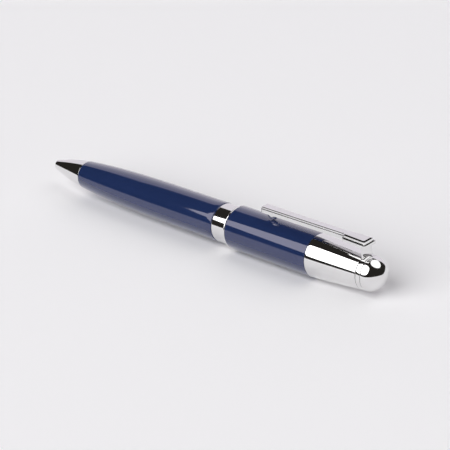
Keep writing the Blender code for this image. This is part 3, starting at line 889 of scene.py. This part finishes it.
def soften(piece, width, angle):  # edges as tumbling and polishing leave them
    work = bmesh.new()
    work.from_mesh(piece.data)
    bmesh.ops.remove_doubles(work, verts=work.verts, dist=0.002 * mm)
    bmesh.ops.dissolve_limit(
        work, angle_limit=math.radians(0.5), verts=work.verts, edges=work.edges, delimit={"NORMAL"}
    )
    work.to_mesh(piece.data)
    work.free()
    bevel = piece.modifiers.new("softEdges", "BEVEL")
    bevel.width = width * mm
    bevel.segments = 4
    bevel.limit_method = "ANGLE"
    bevel.angle_limit = math.radians(angle)
    bevel.harden_normals = True
    piece.data.shade_smooth()
    applyModifiers(piece)


def makeNeck():  # its foot follows the ring, and its top reaches into the head
    c = clip
    half = c["neckWidth"] / 2
    around = 12
    section = []
    for k in range(around + 1):
        across = -half + 2 * half * k / around
        section.append((across, math.sqrt(c["saddle"] ** 2 - across**2)))
    top = c["underside"] + c["rooting"]
    section += [(half, top), (-half, top)]
    work = bmesh.new()
    ends = []
    for station in (c["neckFront"], c["neckRear"]):
        ends.append([work.verts.new(clipPoint(station, across, height)) for across, height in section])
    for k in range(len(section)):
        j = (k + 1) % len(section)
        work.faces.new((ends[0][k], ends[0][j], ends[1][j], ends[1][k]))
    work.faces.new(ends[0])
    work.faces.new(ends[1])
    neck = addMesh("clipNeck", work)
    soften(neck, c["neckRound"], 40)
    dress(neck, "chrome_plate", "clip", [])


def makeBump():  # half an egg under the arm, which grips the pocket
    c = clip
    turns, steps = 64, 24
    top = c["underside"] + c["rooting"]
    outline = [(0.0, top), (c["bumpRadius"], top)]
    for i in range(steps + 1):
        angle = math.pi / 2 * i / steps
        height = c["underside"] - c["bumpDepth"] * math.sin(angle)
        outline.append((c["bumpRadius"] * math.cos(angle), height))
    work = bmesh.new()
    rings = []
    for radius, height in outline:
        if radius < 1e-6:
            rings.append([work.verts.new(clipPoint(c["bumpStation"], 0.0, height))] * turns)
            continue
        ring = []
        for k in range(turns):
            angle = 2 * math.pi * k / turns
            along = radius * math.cos(angle) * c["bumpLength"] / c["bumpRadius"]
            across = radius * math.sin(angle)
            ring.append(work.verts.new(clipPoint(c["bumpStation"] + along, across, height)))
        rings.append(ring)
    for ring, nextRing in zip(rings, rings[1:]):
        for k in range(turns):
            j = (k + 1) % turns
            corners = (ring[k], ring[j], nextRing[j], nextRing[k])
            work.faces.new(tuple(dict.fromkeys(corners)))  # a pole gives a triangle
    bump = addMesh("clipBump", work)
    bump.data.shade_smooth()
    bump.data.set_sharp_from_angle(angle=math.radians(40))
    dress(bump, "chrome_plate", "clip", [])


makeClip()
makeNeck()
makeBump()
print("clip made")

# Refill point: turned brass cone with the writing ball rolled into its rim
refillPoint = {
    "rim": 2.65,
    "rimRadius": 0.6,
    "rimRound": 0.03,
    "lipRadius": 0.495,
    "ballCentre": 2.8,
    "ballRadius": 0.5,
    "socketRadius": 0.55,
    "socketRear": 3.26,
    "inkBore": 0.3,
    "coneEnd": 5.3,
    "coneRound": 0.12,
    "radius": 1.15,
    "rear": 15.3,
    "rearRound": 0.1,
}


def makePoint():
    p = refillPoint
    outline = [
        (p["rim"], p["rimRadius"], p["rimRound"]),
        (p["coneEnd"], p["radius"], p["coneRound"]),
        (p["rear"], p["radius"], p["rearRound"]),
        (p["rear"], p["inkBore"], 0.0),
        (p["socketRear"], p["inkBore"], 0.0),
        (p["ballCentre"], p["socketRadius"], 0.0),
        (p["rim"], p["lipRadius"], 0.0),
    ]
    turnedShell("refillPointShell", outline, "brass", "refill", ["refill_point"], turns=72)
    centre, radius, steps = p["ballCentre"], p["ballRadius"], 16
    ball = [(centre - radius, 0.0, 0.0)]
    for i in range(1, steps):
        angle = math.pi * i / steps
        ball.append((centre - radius * math.cos(angle), radius * math.sin(angle), 0.0))
    ball.append((centre + radius, 0.0, 0.0))
    turnedShell("writingBall", ball, "steel", "refill", ["refill_ball"], turns=48)


makePoint()
print("refill point made")


def emitting(name, colour, strength):
    material, tree, output = newMaterial(name)
    emission = addNode(tree, "ShaderNodeEmission", {"Color": linear(colour), "Strength": strength})
    tree.links.new(emission.outputs["Emission"], output.inputs["Surface"])
    return material


def direction(azimuth, elevation):  # azimuth 0 is +Y and 90 is +X
    a, e = math.radians(azimuth), math.radians(elevation)
    return Vector((math.sin(a) * math.cos(e), math.cos(a) * math.cos(e), math.sin(e)))


def addStage(name, verts, faces, material):
    mesh = bpy.data.meshes.new(name)
    mesh.from_pydata([tuple(v) for v in verts], [], faces)
    mesh.update()
    mesh.materials.append(material)
    thing = bpy.data.objects.new(name, mesh)
    bpy.context.scene.collection.objects.link(thing)
    return thing


# Cloth-fronted softboxes: the front one is a rounded rectangle, the rear one is round
studioTarget = Vector((0.0195, 0.0, 0.0065))
frontBox = {
    "azimuth": -169.2,
    "elevation": 40.0,
    "distance": 3.0,
    "halfWidth": 0.702,
    "halfHeight": 0.562,
    "roll": -6.9,
    "squareness": 3.0,
    "strength": 2.65,
}
rearBox = {
    "azimuth": 42.0,
    "elevation": 56.0,
    "distance": 2.5,
    "halfWidth": 0.53,
    "halfHeight": 0.53,
    "roll": 0.0,
    "squareness": 2.0,
    "strength": 1.35,
}


def makeSoftbox(name, box):
    towards = direction(box["azimuth"], box["elevation"])
    centre = studioTarget + towards * box["distance"]
    a = math.radians(box["azimuth"])
    flat = Vector((math.cos(a), -math.sin(a), 0.0))
    upright = flat.cross(towards)
    if upright.z < 0:
        upright = -upright
    roll = math.radians(box["roll"])
    u = flat * math.cos(roll) + upright * math.sin(roll)
    v = upright * math.cos(roll) - flat * math.sin(roll)
    verts = []
    sides = 64
    power = 2 / box["squareness"]
    for i in range(sides):
        angle = 2 * math.pi * i / sides
        cosine, sine = math.cos(angle), math.sin(angle)
        across = math.copysign(abs(cosine) ** power, cosine) * box["halfWidth"] * box["distance"]
        up = math.copysign(abs(sine) ** power, sine) * box["halfHeight"] * box["distance"]
        verts.append(centre + u * across + v * up)
    addStage(name, verts, [list(range(sides))], emitting(name + "Cloth", "#FFFFFF", box["strength"]))


makeSoftbox("frontSoftbox", frontBox)
makeSoftbox("rearSoftbox", rearBox)

# White card behind the pen, curved, standing on the floor
card = {
    "fromAzimuth": -78.0,
    "toAzimuth": 8.0,
    "top": 42.0,
    "distance": 2.6,
    "colour": "#FCF7FF",
    "strength": 0.845,
}


def makeCard():
    c = card
    columns, rows = 24, 12
    verts = []
    for r in range(rows + 1):
        for k in range(columns + 1):
            azimuth = c["fromAzimuth"] + (c["toAzimuth"] - c["fromAzimuth"]) * k / columns
            verts.append(studioTarget + direction(azimuth, c["top"] * r / rows) * c["distance"])
    faces = []
    for r in range(rows):
        for k in range(columns):
            a = r * (columns + 1) + k
            faces.append((a, a + 1, a + columns + 2, a + columns + 1))
    addStage("whiteCard", verts, faces, emitting("litWhiteCard", c["colour"], c["strength"]))


makeCard()

# Matt paper on a table: the eye sees an even pale floor without a highlight
floorLook = {
    "colour": "#FDFCFE",
    "roughness": 0.85,
    "specular": 0.2,
    "fibreMm": 0.8,
    "fibreHeightMm": 0.002,
    "halfSize": 5.0,
}


def makeFloor():
    look = floorLook
    material, tree, output = newMaterial("paleMattPaper")
    place = addNode(tree, "ShaderNodeTexCoord").outputs["Object"]
    fibre = addNode(
        tree, "ShaderNodeTexNoise", {"Vector": place, "Scale": perMetre(look["fibreMm"]), "Detail": 3.0}
    )
    height = look["fibreHeightMm"] * mm
    bump = addNode(tree, "ShaderNodeBump", {"Height": fibre.outputs["Fac"], "Distance": height})
    shader = addNode(
        tree,
        "ShaderNodeBsdfPrincipled",
        {
            "Base Color": linear(look["colour"]),
            "Roughness": look["roughness"],
            "Normal": bump.outputs["Normal"],
            "Specular IOR Level": look["specular"],
        },
    )
    tree.links.new(shader.outputs["BSDF"], output.inputs["Surface"])
    half = look["halfSize"]
    corners = [(-half, -half, 0.0), (half, -half, 0.0), (half, half, 0.0), (-half, half, 0.0)]
    addStage("studioFloor", corners, [(0, 1, 2, 3)], material)


makeFloor()

# The unlit room, which the plating shows as its darks
studioDark = {"colour": "#282624", "strength": 1.0}
world = bpy.data.worlds.new("darkStudio")
world.use_nodes = True
background = world.node_tree.nodes["Background"]
background.inputs["Color"].default_value = linear(studioDark["colour"])
background.inputs["Strength"].default_value = studioDark["strength"]
bpy.context.scene.world = world
print("studio made")

# Camera: a long lens from behind the round end, as in the photograph
photoCamera = {
    "place": (0.492585, -0.43593, 0.32235),
    "right": (0.70036071, 0.70594874, -0.10550475),
    "upward": (-0.24449535, 0.37612852, 0.89372778),
    "backward": (0.67060935, -0.6001364, 0.43602683),
    "lens": 200.0,
    "sensorWidth": 36.0,
}


def makeCamera():
    c = photoCamera
    cameraData = bpy.data.cameras.new("photoCamera")
    cameraData.lens = c["lens"]
    cameraData.sensor_width = c["sensorWidth"]
    camera = bpy.data.objects.new("photoCamera", cameraData)
    bpy.context.scene.collection.objects.link(camera)
    turn = Matrix((c["right"], c["upward"], c["backward"])).transposed()
    camera.matrix_world = Matrix.Translation(c["place"]) @ turn.to_4x4()
    bpy.context.scene.camera = camera


makeCamera()
bpy.context.scene.view_settings.view_transform = "Standard"
print("camera placed")

print("scene ready")
